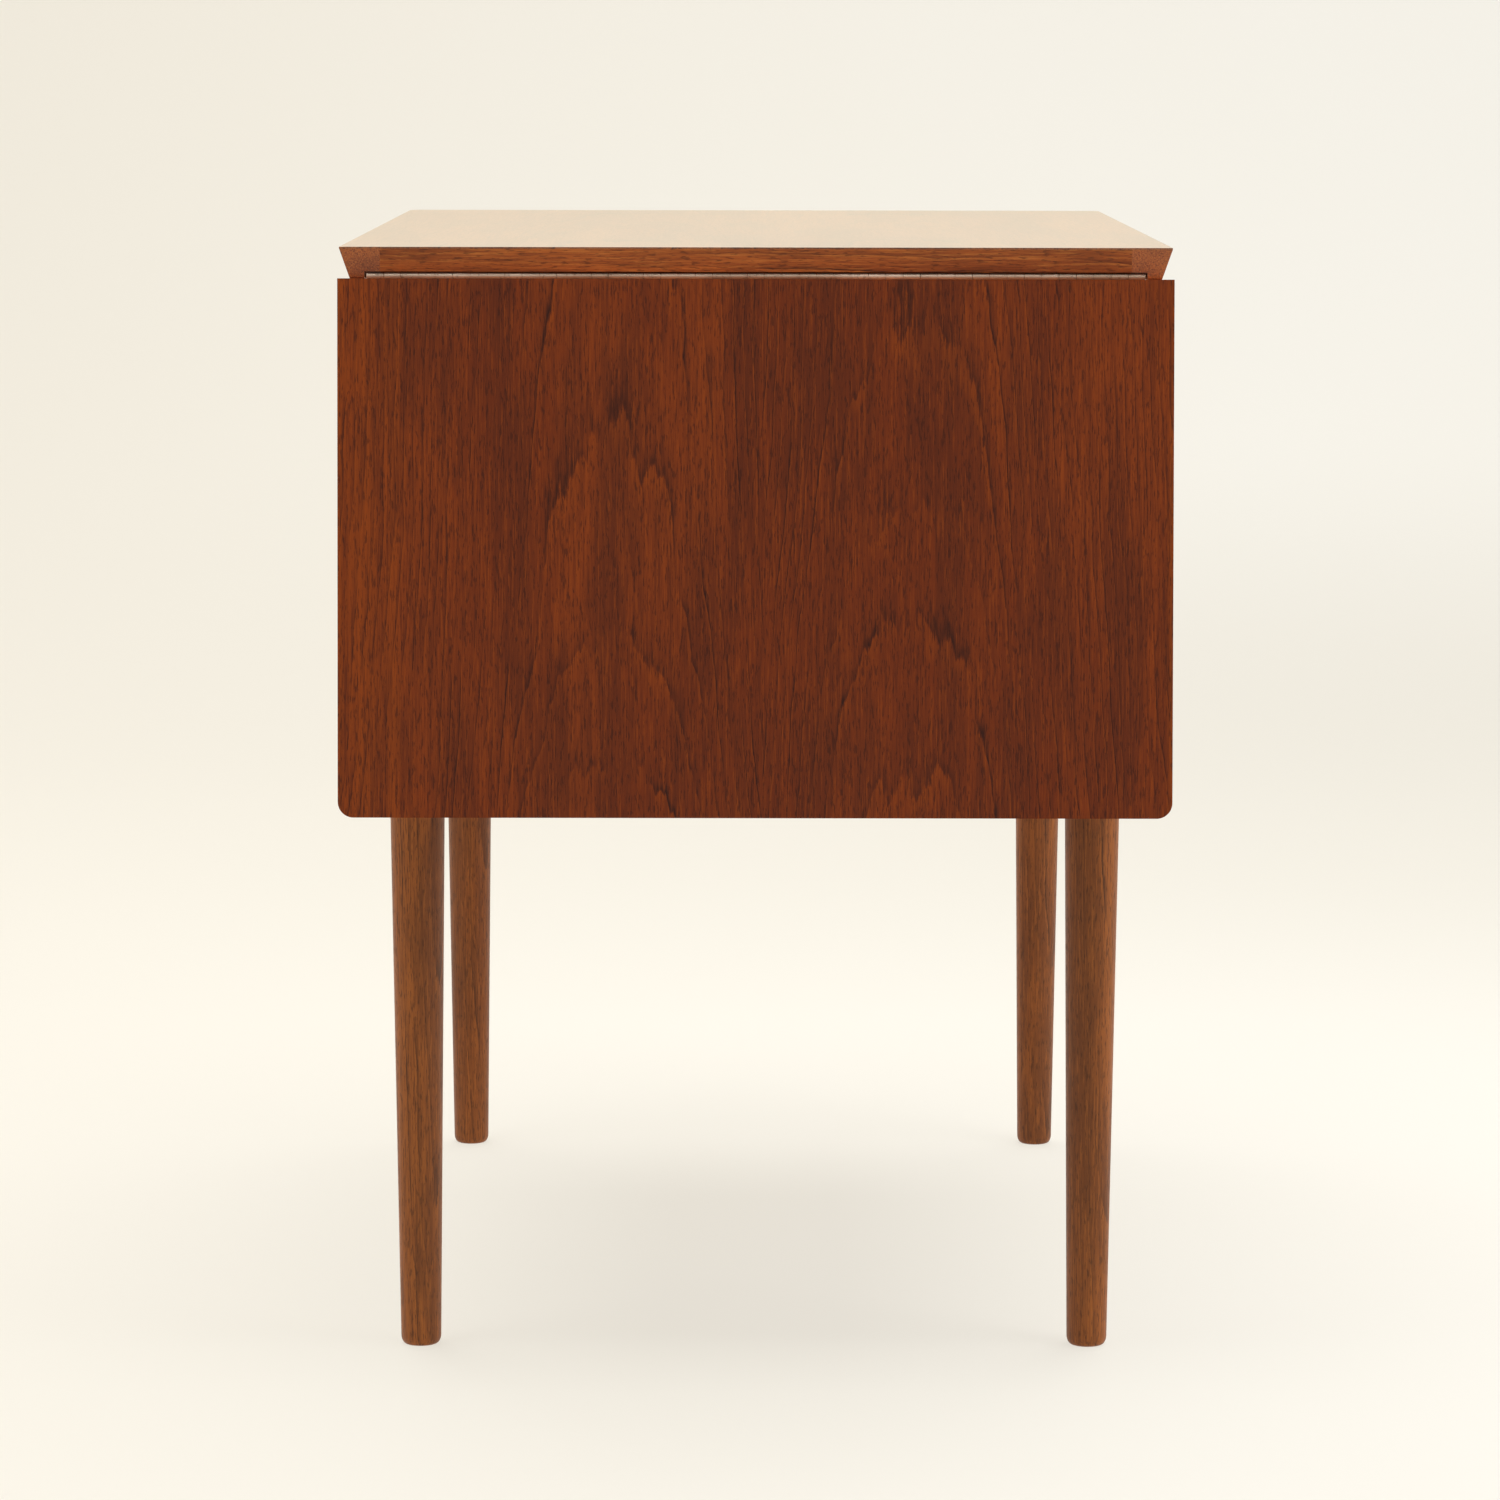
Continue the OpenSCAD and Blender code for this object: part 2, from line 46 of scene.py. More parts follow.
# %% Camera
LENS_MM = 123.4
SENSOR_MM = 36.0
CAMERA_AT = Vector((-0.0051, -3.063, 0.7274))
CAMERA_PITCH = 7.894   # degrees, as the next two
CAMERA_YAW = 0.048
CAMERA_ROLL = 0.097

camera_data = bpy.data.cameras.new("camera")
camera_data.lens = LENS_MM
camera_data.sensor_width = SENSOR_MM
camera_data.clip_end = 60
camera = bpy.data.objects.new("camera", camera_data)
scene.collection.objects.link(camera)
aim = Matrix.Rotation(math.radians(-CAMERA_YAW), 4, "Z")
tilt = Matrix.Rotation(math.radians(90 - CAMERA_PITCH), 4, "X")
roll = Matrix.Rotation(math.radians(CAMERA_ROLL), 4, "Z")
camera.matrix_world = Matrix.Translation(CAMERA_AT) @ aim @ tilt @ roll
scene.camera = camera
scene.view_settings.view_transform = "Standard"
print("camera at", tuple(round(v, 3) for v in camera.location))

# %% [markdown]
# ## A short way to write shader nodes
# A wood finish takes a few dozen nodes. Wiring them one by one hides the idea behind the
# wiring, so these helpers let a formula be written almost as arithmetic. Each returns an
# output socket, which can be fed straight into the next call. They come in three short
# classes, each of which adds to the one before.

# %% Wiring
class Wiring:
    """Adds nodes to one material and wires them, one short call at a time."""

    def __init__(self, name):
        self.material = bpy.data.materials.new(name)
        self.material.use_nodes = True
        self.tree = self.material.node_tree
        self.shader = self.tree.nodes["Principled BSDF"]

    def add(self, kind, settings=None, **inputs):
        node = self.tree.nodes.new(kind)
        for key, value in (settings or {}).items():
            setattr(node, key, value)
        for key, value in inputs.items():
            self.feed(node.inputs[key.replace("_", " ")], value)
        return node

    def feed(self, socket, value):
        """Links another socket into this one, or sets this one to a plain value."""
        if isinstance(value, bpy.types.NodeSocket):
            self.tree.links.new(value, socket)
        else:
            socket.default_value = value


print("wiring:", [name for name in vars(Wiring) if not name.startswith("_")])

# %% Arithmetic
class Arithmetic(Wiring):
    """Sums, products and soft steps on sockets."""

    def math(self, operation, *values):
        node = self.add("ShaderNodeMath", {"operation": operation})
        for socket, value in zip(node.inputs, values):
            self.feed(socket, value)
        return node.outputs[0]

    def sum(self, *values):
        total = values[0]
        for value in values[1:]:
            total = self.math("ADD", total, value)
        return total

    def times(self, a, b):
        return self.math("MULTIPLY", a, b)

    def map_range(self, kind, *numbers):
        node = self.add("ShaderNodeMapRange", {"interpolation_type": kind})
        for socket, number in zip(node.inputs, numbers):
            self.feed(socket, number)
        return node.outputs[0]

    def remap(self, value, low, high, to_low=0.0, to_high=1.0):
        """A soft step from to_low to to_high, as the value goes from low to high."""
        return self.map_range("SMOOTHSTEP", value, low, high, to_low, to_high)

    def remap_straight(self, value, low, high, to_low, to_high):
        """The same by a straight line."""
        return self.map_range("LINEAR", value, low, high, to_low, to_high)

    def split(self, where):
        return self.add("ShaderNodeSeparateXYZ", Vector=where).outputs

    def join(self, x, y, z):
        return self.add("ShaderNodeCombineXYZ", X=x, Y=y, Z=z).outputs[0]


print("arithmetic:", [name for name in vars(Arithmetic) if not name.startswith("_")])

# %% Patterns, mixing and relief
class Graph(Arithmetic):
    """Noise, mixed colours and relief."""

    def noise(self, where, scale, detail=3.0, roughness=0.5):
        node = self.add("ShaderNodeTexNoise", Vector=where, Scale=scale, Detail=detail,
                        Roughness=roughness)
        return node.outputs["Fac"]

    def stretch(self, where, x, y, z, shift=(0, 0, 0)):
        node = self.add("ShaderNodeMapping", Vector=where, Scale=(x, y, z), Location=shift)
        return node.outputs[0]

    def grain_noise(self, where, across, along, detail=3.0, roughness=0.5, shift=(0, 0, 0)):
        """Noise drawn out along the grain; across and along are its cells per metre."""
        drawn_out = self.stretch(where, x=across, y=along, z=across, shift=shift)
        return self.noise(drawn_out, 1.0, detail, roughness)

    def mix(self, factor, a, b):
        # Sockets 6, 7 and 2 are the node's colour ones, after those for numbers and vectors
        node = self.add("ShaderNodeMix", {"data_type": "RGBA"})
        self.feed(node.inputs[0], factor)
        self.feed(node.inputs[6], a)
        self.feed(node.inputs[7], b)
        return node.outputs[2]

    def bump(self, height, distance, strength):
        node = self.add("ShaderNodeBump", Height=height, Distance=distance, Strength=strength)
        return node.outputs[0]


print("patterns:", [name for name in vars(Graph) if not name.startswith("_")])

# %% Colours given on a 0-255 scale
def srgb(red, green, blue):
    """A colour given on a 0-255 scale, as the linear values that Blender wants."""
    def linear(v):
        v /= 255
        return v / 12.92 if v <= 0.04045 else ((v + 0.055) / 1.055) ** 2.4
    return (linear(red), linear(green), linear(blue), 1.0)


print("a middle teak brown in linear values:", [round(v, 3) for v in srgb(144, 84, 46)])

# %% [markdown]
# ## Where the grain runs
# Every wood finish is worked out in grain directions: Y along the fibres, X across them, Z
# into the wood. For the fixed top those are the table's own directions. A leg's fibres stand
# upright, a drawer front's run along its length. The leaf hangs at an angle, so its
# coordinates are first turned back about the hinge pin to where it lies when raised: that
# is why its figure carries on across the joint from the top. Unfolding each piece into a
# flat map would be another way, but two maps would hardly meet so exactly at a joint.

# %% Grain directions
joints = {joint["name"]: joint for joint in frame["joints"]}
pin = Vector(joints["leaf_hinge"]["pos_m"])
swing = math.radians(joints["leaf_hinge"]["range_deg"][1])

ALONG_Y = Euler((0, 0, 0))
ALONG_X = Euler((0, 0, math.radians(90)))
ALONG_Z = Euler((math.radians(-90), 0, 0))


def grain_space(graph, direction=ALONG_Y, on_leaf=False, shift=(0, 0, 0)):
    """Object coordinates turned so that local Y follows the fibres."""
    where = graph.add("ShaderNodeTexCoord").outputs["Object"]
    if on_leaf:
        centred = graph.add("ShaderNodeVectorMath", {"operation": "SUBTRACT"})
        graph.feed(centred.inputs[0], where)
        centred.inputs[1].default_value = pin
        turned = graph.add("ShaderNodeVectorRotate", {"rotation_type": "X_AXIS"}, Angle=-swing)
        graph.feed(turned.inputs["Vector"], centred.outputs[0])
        back = graph.add("ShaderNodeVectorMath", {"operation": "ADD"})
        graph.feed(back.inputs[0], turned.outputs[0])
        back.inputs[1].default_value = pin
        where = back.outputs[0]
    turn = graph.add("ShaderNodeMapping", Vector=where, Rotation=direction, Location=shift)
    return turn.outputs[0]


print("leaf grain turned back", round(math.degrees(swing)), "degrees about",
      tuple(round(v, 3) for v in pin))

# %% [markdown]
# ## Teak and its growth rings
# Growth rings are cones round the tree's heart. A flat slice near the heart of the plank
# shows them as tall pointed arches; a slice further out shows straight lines. Both come from
# one number, the count of rings passed at a point: it grows along the plank with the taper
# of the trunk, and grows sideways slowly at first and then steadily. Noises disturb it: a
# slow one sways the lines, finer ones make the crowns of the arches ragged. Blender's own
# wave pattern draws rings too, but evenly spaced ones, which look like printed stripes.

# %% Ring count
CROWN = 0.060           # half-width of the arched part of a board, m
CROWN_POWER = 3.4       # how flat the heart is before the rings begin to crowd
CROWN_RINGS = 45300.0   # rings passed at one metre, if the crown went on that far
STRAIGHT = 190.0        # rings per metre across the straight part


def sideways(graph, x):
    """Rings passed on the way out from the heart line of one board."""
    away = graph.math("ABSOLUTE", x)
    near = graph.math("POWER", graph.math("MINIMUM", away, CROWN), CROWN_POWER)
    far = graph.math("MAXIMUM", graph.math("SUBTRACT", away, CROWN), 0.0)
    return graph.sum(graph.times(near, CROWN_RINGS), graph.times(far, STRAIGHT))


print("rings across half an arch:", round(CROWN_RINGS * CROWN ** CROWN_POWER, 1))

# %% Rings along the board, as a curve
def curve(graph, value, points):
    """A smooth curve through (input, output) pairs, both given in their own units."""
    xs = [p[0] for p in points]
    ys = [p[1] for p in points]
    node = graph.add("ShaderNodeFloatCurve")
    line = node.mapping.curves[0]
    for number, (x, y) in enumerate(points):
        spot = ((x - xs[0]) / (xs[-1] - xs[0]), (y - ys[0]) / (ys[-1] - ys[0]))
        if number == 0:
            line.points[0].location = spot
        elif number == len(points) - 1:
            line.points[1].location = spot
        else:
            line.points.new(*spot)
    node.mapping.update()
    scaled = graph.remap_straight(value, xs[0], xs[-1], 0.0, 1.0)
    graph.feed(node.inputs["Value"], scaled)
    return graph.remap_straight(node.outputs[0], 0.0, 1.0, ys[0], ys[-1])


print("curve helper:", curve.__doc__)

# %% What disturbs the rings
def swayed(graph, where, amount=0.016):
    """Distance across the grain, pushed to and fro by a slow noise; the amount is in metres."""
    x = graph.split(where)[0]
    slow = graph.grain_noise(where, across=22, along=3.4, detail=3.0, roughness=0.55)
    return graph.sum(x, graph.times(graph.math("SUBTRACT", slow, 0.5), amount))


def ragged(graph, where, amount=1.0):
    """What the fine noises add to the ring count."""
    broad = graph.grain_noise(where, across=75, along=13, detail=2.0, roughness=0.5)
    saw = graph.grain_noise(where, across=330, along=34, detail=3.0, roughness=0.65)
    both = graph.sum(graph.times(graph.math("SUBTRACT", broad, 0.5), 0.85),
                     graph.times(graph.math("SUBTRACT", saw, 0.5), 0.30))
    return graph.times(both, amount)


print("ring disturbances:", swayed.__name__, "and", ragged.__name__)

# %% [markdown]
# ## Colour from the ring count
# Late wood starts as a thin dark line and fades into the next ring, with a warmer glow just
# inside it. The lines are patchy: here clear, there lost. Over the rings lie fine fibre
# streaks, short dark pores and slow changes of tone. One colour ramp over the ring count
# would be quicker, but its stripes come out clean and alike. So each mark is worked out by
# itself, and laid over the last like a thin glaze. The gloss follows the same fibres, and
# the pores are sunk a tenth of a millimetre.

# %% Fibres and pores
def fibres(graph, where):
    """Streaks and pores, both drawn out along the grain."""
    fine = graph.grain_noise(where, across=1100, along=36, detail=4.0, roughness=0.7)
    broad = graph.grain_noise(where, across=150, along=5.0, detail=5.0, roughness=0.68)
    dashes = graph.grain_noise(where, across=1300, along=170, detail=2.0, roughness=0.5)
    return fine, broad, graph.remap(dashes, 0.54, 0.66)


print("fibre layers: fine streaks, broad streaks, pores")

# %% The marks of each ring
THIN_LINES = 3.7     # faint lines to each ring
RING_STEP = 1.37     # walk through a noise, so that each ring gets a strength of its own


def ring_marks(graph, where, rings, fine, broad):
    """How strongly the dark edge, the shade, the warm glow and the thin lines show."""
    phase = graph.math("FRACT", rings)
    small = graph.math("FRACT", graph.times(rings, THIN_LINES))
    number = graph.times(graph.math("FLOOR", rings), RING_STEP)
    own = graph.noise(graph.join(number, 0.0, 0.0), 1.0, 0.0)
    own = graph.remap(own, 0.36, 0.62, 0.25, 1.0)
    patch = graph.grain_noise(where, across=40, along=9, detail=4.0, roughness=0.65, shift=(3, 1, 0))

    # A phase of 0 is a ring's dark edge, and 1 is the next ring's. Each pair of numbers says
    # between which values a mark fades in or out.
    edge = graph.times(graph.remap(phase, 0.0, 0.03), graph.remap(phase, 0.03, 0.15, 1.0, 0.0))
    edge = graph.times(graph.times(edge, own), graph.remap(patch, 0.40, 0.56, 0.12, 1.0))
    edge = graph.times(edge, graph.remap(fine, 0.30, 0.60, 0.35, 1.0))
    shade = graph.remap(phase, 0.02, 0.45, 1.0, 0.0)
    shade = graph.times(shade, graph.remap(patch, 0.40, 0.60, 0.1, 1.0))
    warm = graph.times(graph.remap(phase, 0.80, 0.99), graph.remap(patch, 0.36, 0.56, 0.0, 1.0))
    thin = graph.times(graph.remap(small, 0.0, 0.5, 1.0, 0.0), graph.remap(broad, 0.45, 0.62))
    return edge, shade, warm, thin


print("ring marks: dark edge, shade, warm glow and", THIN_LINES, "thin lines to a ring")

# %% Teak colour, laid on layer by layer
def teak_colour(graph, where, rings, tones, strength, painted_light):
    """Base colour of teak from its ring count; the last argument marks where painted light is laid on
    in the glow colour.
    """
    light, middle, dark, glow, line = tones
    fine, broad, pores = fibres(graph, where)
    edge, shade, warm, thin = ring_marks(graph, where, rings, fine, broad)
    tone = graph.grain_noise(where, across=15, along=2.2, detail=4.0, roughness=0.55, shift=(0, 5, 0))
    plum = graph.grain_noise(where, across=34, along=5, detail=4.0, roughness=0.6, shift=(7, 2, 0))

    # The ground: two browns in slow change, then broad streaks and darker patches
    colour = graph.mix(graph.remap(tone, 0.40, 0.60), middle, light)
    colour = graph.mix(graph.times(graph.remap(broad, 0.47, 0.68), 0.36), colour, dark)
    colour = graph.mix(graph.times(graph.remap(plum, 0.46, 0.62), 0.60), colour, dark)
    # Painted light in the glow colour, where the last argument asks for it
    if painted_light is not None:
        colour = graph.mix(painted_light, colour, glow)
    # The rings: shade after a dark edge, glow before it, thin lines between
    colour = graph.mix(graph.times(shade, 0.55 * strength), colour, dark)
    colour = graph.mix(graph.times(warm, 0.34 * strength), colour, glow)
    colour = graph.mix(graph.times(thin, 0.15), colour, dark)
    # The fibres, dark and light
    colour = graph.mix(graph.times(graph.remap(fine, 0.49, 0.62), 0.60), colour, dark)
    colour = graph.mix(graph.times(graph.remap(fine, 0.47, 0.36), 0.45), colour, glow)
    # The dark edges and the pores, over everything
    colour = graph.mix(graph.times(edge, 0.92 * strength), colour, line)
    return graph.mix(graph.times(pores, 0.52), colour, line), fine, pores


print("teak colours: light, middle, dark, glow, line")

# %% Straight lines, for solid wood
LINE_SPACING = 0.0045   # m, square to the rings
LINE_TAPER = 4.0        # rings per metre along the wood
TILT_ACROSS = 0.8       # the direction square to the rings: this much across the grain
TILT_INTO = 0.6         # and this much into the wood


def straight_rings(graph, where):
    """Nearly straight lines that slope through the wood, so that every face shows them."""
    y, z = graph.split(where)[1:3]
    across = graph.times(swayed(graph, where, 0.010), TILT_ACROSS)
    passed = graph.times(graph.sum(across, graph.times(z, TILT_INTO)), 1 / LINE_SPACING)
    return graph.sum(passed, graph.times(y, LINE_TAPER), ragged(graph, where, 0.8))


print("straight lines every", LINE_SPACING * 1000, "mm")

# %% Teak finish
PORE_RELIEF = 0.00012   # m


def teak(name, tones, direction=ALONG_Y, on_leaf=False, shift=(0, 0, 0), rings=straight_rings,
         strength=1.0, gloss=0.36, shine=0.25, setup=None, painted_light=None):
    """A teak finish; rings gives the ring count at a point, in grain directions."""
    graph = Graph(name)
    where = grain_space(graph, direction, on_leaf, shift)
    # Where painted light is laid on, if anywhere
    painted_light_mask = painted_light(graph, where) if painted_light else None
    colour, fine, pores = teak_colour(graph, where, rings(graph, where), tones, strength, painted_light_mask)
    graph.feed(graph.shader.inputs["Base Color"], colour)
    rough = graph.sum(gloss, graph.times(fine, 0.14), graph.times(pores, 0.10))
    graph.feed(graph.shader.inputs["Roughness"], rough)
    relief = graph.math("SUBTRACT", graph.times(fine, 0.5), pores)
    graph.feed(graph.shader.inputs["Normal"], graph.bump(relief, PORE_RELIEF, 0.5))
    graph.shader.inputs["IOR"].default_value = 1.5
    graph.shader.inputs["Specular IOR Level"].default_value = shine
    if setup:
        setup(graph.shader)
    return graph.material


print("pores sunk up to", PORE_RELIEF * 1000, "mm")

# %% [markdown]
# ## The veneer of the top and the leaf
# Two sheets cut one after the other from the same log lie side by side, so the arches come
# twice, about 80 mm to each side of the middle, with a soft V between them. The leaf and the
# top were one sheet: the arches that start on the leaf carry on across the hinge. A plain
# taper would space the arches evenly, so each sheet's rings follow a short curve of places
# along the table instead. The top's colours are lighter than the leaf's: partly a top bleached
# by daylight and polished by use, and partly painted reflection of the bright wall, which the
# top mirrors when seen almost edge-on.

# %% Rings of the two veneer sheets
LEFT_HEART = -0.076   # heart line of each sheet, m from the middle
RIGHT_HEART = 0.084
SHEET_JOINT = (LEFT_HEART + RIGHT_HEART) / 2
# Distance along the table from the hinge (minus is on the leaf) and rings passed there
LEFT_YEARS = ((-0.36, -4.2), (-0.25, -2), (-0.196, -1), (-0.086, 0), (0.09, 1), (0.26, 2),
              (0.37, 3), (0.53, 4), (0.70, 5.2))
RIGHT_YEARS = ((-0.36, -4.0), (-0.274, -3), (-0.188, -2), (-0.125, -1), (-0.027, 0), (0.10, 1),
               (0.25, 2), (0.385, 3), (0.52, 4), (0.70, 5.2))


def veneer_rings(graph, where):
    """Two boards' ring counts, each on its own side of the middle."""
    across = swayed(graph, where)
    along = graph.math("SUBTRACT", graph.split(where)[1], pin.y)
    counts = []
    for heart, years in ((LEFT_HEART, LEFT_YEARS), (RIGHT_HEART, RIGHT_YEARS)):
        out = sideways(graph, graph.math("SUBTRACT", across, heart))
        counts.append(graph.sum(out, curve(graph, along, years)))
    on_right = graph.math("GREATER_THAN", graph.split(where)[0], SHEET_JOINT)
    chosen = graph.sum(graph.times(counts[0], graph.math("SUBTRACT", 1.0, on_right)),
                       graph.times(counts[1], on_right))
    return graph.sum(chosen, ragged(graph, where))


print("veneer sheets meet at x =", round(SHEET_JOINT, 3))

# %% The leaf's orange strip and the highlights on its arrises, both painted light
half_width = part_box("leaf_veneer")[1].x
STRIP_EDGE = (-0.1915, -0.1905)   # the strip's soft inner edge, m from the middle
PAINTED_HIGHLIGHT_FROM = 0.0045              # the painted highlight begins this far in from the side, m
PAINTED_HIGHLIGHT_FULL = 0.001               # and is full here


def painted_side_light(graph, where):
    """Painted light: a narrow, brighter and more orange strip along the left side, and painted
    highlights on both side arrises.
    """
    x = graph.split(where)[0]
    streaks = graph.grain_noise(where, across=120, along=2)
    # A brighter, more orange strip down the left side: painted light, broken up by streaks
    inside = graph.remap(x, *STRIP_EDGE, 1.0, 0.0)
    strip = graph.times(inside, graph.remap(streaks, 0.35, 0.65, 0.10, 0.62))
    # Paler arrises on both sides: painted highlights where the rounded edges catch the light
    painted_highlight = graph.remap(graph.math("ABSOLUTE", x), half_width - PAINTED_HIGHLIGHT_FROM,
                         half_width - PAINTED_HIGHLIGHT_FULL, 0.0, 0.55)
    return graph.math("MAXIMUM", strip, painted_highlight)


print("orange strip:", round((half_width + STRIP_EDGE[0]) * 1000, 1), "mm wide")

# %% Teak colours of each part
def five_tones(light, middle, dark, glow, line):
    """The colours of one teak: two grounds, the shade, the warm glow and the ring lines."""
    return tuple(srgb(*colour) for colour in (light, middle, dark, glow, line))


LEAF_TEAK = five_tones((133, 61, 28), (118, 53, 27), (92, 44, 28), (152, 72, 27), (50, 31, 27))
# The top's tones are lighter than the leaf's: partly painted reflection of the bright wall
TOP_TEAK_WITH_PAINTED_REFLECTION = five_tones((164, 102, 56), (144, 84, 46), (94, 52, 30), (182, 114, 60), (44, 27, 19))
EDGE_TEAK = five_tones((180, 99, 44), (155, 81, 37), (116, 60, 32), (208, 134, 64), (60, 36, 26))
TURNED_TEAK = five_tones((162, 92, 38), (142, 79, 33), (110, 61, 28), (178, 104, 42), (60, 37, 22))
CASE_TEAK = five_tones((150, 78, 36), (132, 66, 33), (102, 52, 30), (168, 90, 38), (58, 35, 28))
print("teak palettes: leaf, top, edge, turned, case")

# %% Veneer finishes
def film(shader, weight):
    """A clear film and a faint bloom, both strong only when seen at a low angle."""
    shader.inputs["Coat Weight"].default_value = weight
    shader.inputs["Coat Roughness"].default_value = 0.22
    shader.inputs["Sheen Weight"].default_value = weight
    shader.inputs["Sheen Roughness"].default_value = 0.35
    shader.inputs["Sheen Tint"].default_value = srgb(252, 238, 212)


def polished(shader):
    """The top, rubbed by years of use."""
    film(shader, 1.0)


def waxed(shader):
    """The leaf, which hangs down and is rubbed less."""
    film(shader, 0.35)


top_veneer = teak("teak_veneer_top", TOP_TEAK_WITH_PAINTED_REFLECTION, rings=veneer_rings, strength=1.08, shine=0.5,
                  setup=polished)
leaf_veneer = teak("teak_veneer_leaf", LEAF_TEAK, rings=veneer_rings, on_leaf=True, shine=0.0,
                   setup=waxed, painted_light=painted_side_light)
print("veneer finishes:", top_veneer.name, leaf_veneer.name)

# %% [markdown]
# ## Solid teak: lippings, legs, knobs and the case
# Solid pieces use the same wood, cut well away from the heart, so their lines run nearly
# straight. An image of wood would have to be wrapped round each piece. A figure that fills
# the wood needs no wrapping: the lines slope through it, and every face shows them. The
# lippings are a warmer brown than the veneer, and the legs a little more olive, as oiled
# solid teak is beside lacquered veneer.

# %% Solid teak finishes
side_lipping = teak("teak_lipping_side", EDGE_TEAK, strength=0.35, setup=polished)
end_lipping = teak("teak_lipping_end", EDGE_TEAK, direction=ALONG_X, shift=(0.03, 0.2, 0))
leaf_side_lipping = teak("teak_leaf_lipping_side", EDGE_TEAK, on_leaf=True)
leaf_end_lipping = teak("teak_leaf_lipping_end", EDGE_TEAK, direction=ALONG_X, on_leaf=True,
                        shift=(0.01, 0.4, 0))
case_end = teak("teak_case_end", CASE_TEAK, direction=ALONG_Z)
case_long = teak("teak_case_long", CASE_TEAK, shift=(0.02, 0, 0))
small_solid = teak("teak_small_parts", TURNED_TEAK, direction=ALONG_Z)
knob_wood = teak("teak_knobs", TURNED_TEAK, direction=ALONG_X, gloss=0.3)
solid_finishes = (side_lipping, end_lipping, leaf_side_lipping, leaf_end_lipping, case_end,
                  case_long, small_solid, knob_wood)
print("solid teak finishes:", [finish.name for finish in solid_finishes])

# %% [markdown]
# ## Drawer fronts
# A drawer front is one flat-cut board whose fibres run level, so its arches lie on their
# side. It could have its own pattern, but it is the same wood seen from another side: the
# grain directions are turned a quarter, so that across the grain means up the front, and the
# heart line is moved to the middle of each front's height.

# %% Drawer fronts
FRONT_RINGS = 8.0   # rings per metre along a front


def front_rings(graph, where):
    """Ring count of a board whose heart line runs along the middle of the front."""
    across = swayed(graph, where, 0.010)
    along = graph.times(graph.split(where)[1], FRONT_RINGS)
    return graph.sum(sideways(graph, across), along, ragged(graph, where))


ON_ITS_SIDE = Euler((0, math.radians(90), 0))
fronts = {}
for level in ("top", "middle", "bottom"):
    low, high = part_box(f"drawer_{level}_front")
    heart = ((low.z + high.z) / -2, 0.0, 0.0)
    fronts[level] = teak(f"teak_front_{level}", CASE_TEAK, direction=ON_ITS_SIDE, shift=heart,
                         rings=front_rings, strength=0.9)
print("drawer fronts:", [m.name for m in fronts.values()])

# %% [markdown]
# ## Legs
# Each leg is turned on a lathe from its own blank, with the fibres running up its length, so
# no two legs show the same lines. Four unrelated finishes would be one way. Here all four
# use one recipe, and the wood is moved a step along and across for each leg.

# %% Legs
STEP_ACROSS = 0.011   # m
STEP_ALONG = 0.21     # m

leg_wood = {}
for count, leg in enumerate(sorted(n for n in nodes if n.startswith(("leg_near", "leg_far")))):
    offset = (STEP_ACROSS * count, STEP_ALONG * count, 0.0)
    leg_wood[leg] = teak(f"teak_{leg}", TURNED_TEAK, direction=ALONG_Z, shift=offset, gloss=0.34)
print("leg finishes:", len(leg_wood))

# %% [markdown]
# ## Beech for what the drawers hide
# Beech is pale and even, with tiny darker flecks instead of pores and hardly any ring lines.
# It could use the teak recipe in pale colours, but the pores would give it away. Three noises
# are enough: slow tone, fine fibre and short flecks.

# %% Beech finish
def beech(name, direction):
    """Plain pale beech with its fibres along one direction."""
    graph = Graph(name)
    where = grain_space(graph, direction)
    tone = graph.grain_noise(where, across=22, along=2.5, detail=3.0, roughness=0.5)
    fine = graph.grain_noise(where, across=700, along=8, detail=3.0, roughness=0.6)
    fleck = graph.remap(graph.grain_noise(where, across=1300, along=260, detail=1.0), 0.62, 0.72)
    base = graph.mix(graph.remap(tone, 0.35, 0.65), srgb(214, 172, 128), srgb(228, 192, 150))
    base = graph.mix(graph.times(graph.remap(fine, 0.4, 0.7), 0.4), base, srgb(196, 150, 106))
    base = graph.mix(graph.times(fleck, 0.5), base, srgb(158, 108, 72))
    graph.feed(graph.shader.inputs["Base Color"], base)
    graph.feed(graph.shader.inputs["Roughness"], graph.sum(0.42, graph.times(fine, 0.15)))
    graph.feed(graph.shader.inputs["Normal"], graph.bump(fine, 0.0001, 0.35))
    return graph.material


beech_x = beech("beech_along_x", ALONG_X)
beech_y = beech("beech_along_y", ALONG_Y)
beech_z = beech("beech_along_z", ALONG_Z)
print("beech finishes:", beech_x.name, beech_y.name, beech_z.name)

# %% [markdown]
# ## Metals
# The piano hinge is steel with a worn bronze plating: along its length the plating is rubbed
# pale in places and brown in others. The screws share it. The hidden screws and inserts are
# plain dull brass. A single flat colour would look like plastic, so both mix two colours
# by a slow noise, and a stretched noise gives them a brushed, fairly rough polish.

# %% Metal finishes
BRUSHED = (30, 400, 400)   # cells per metre of the brushing along X, Y and Z


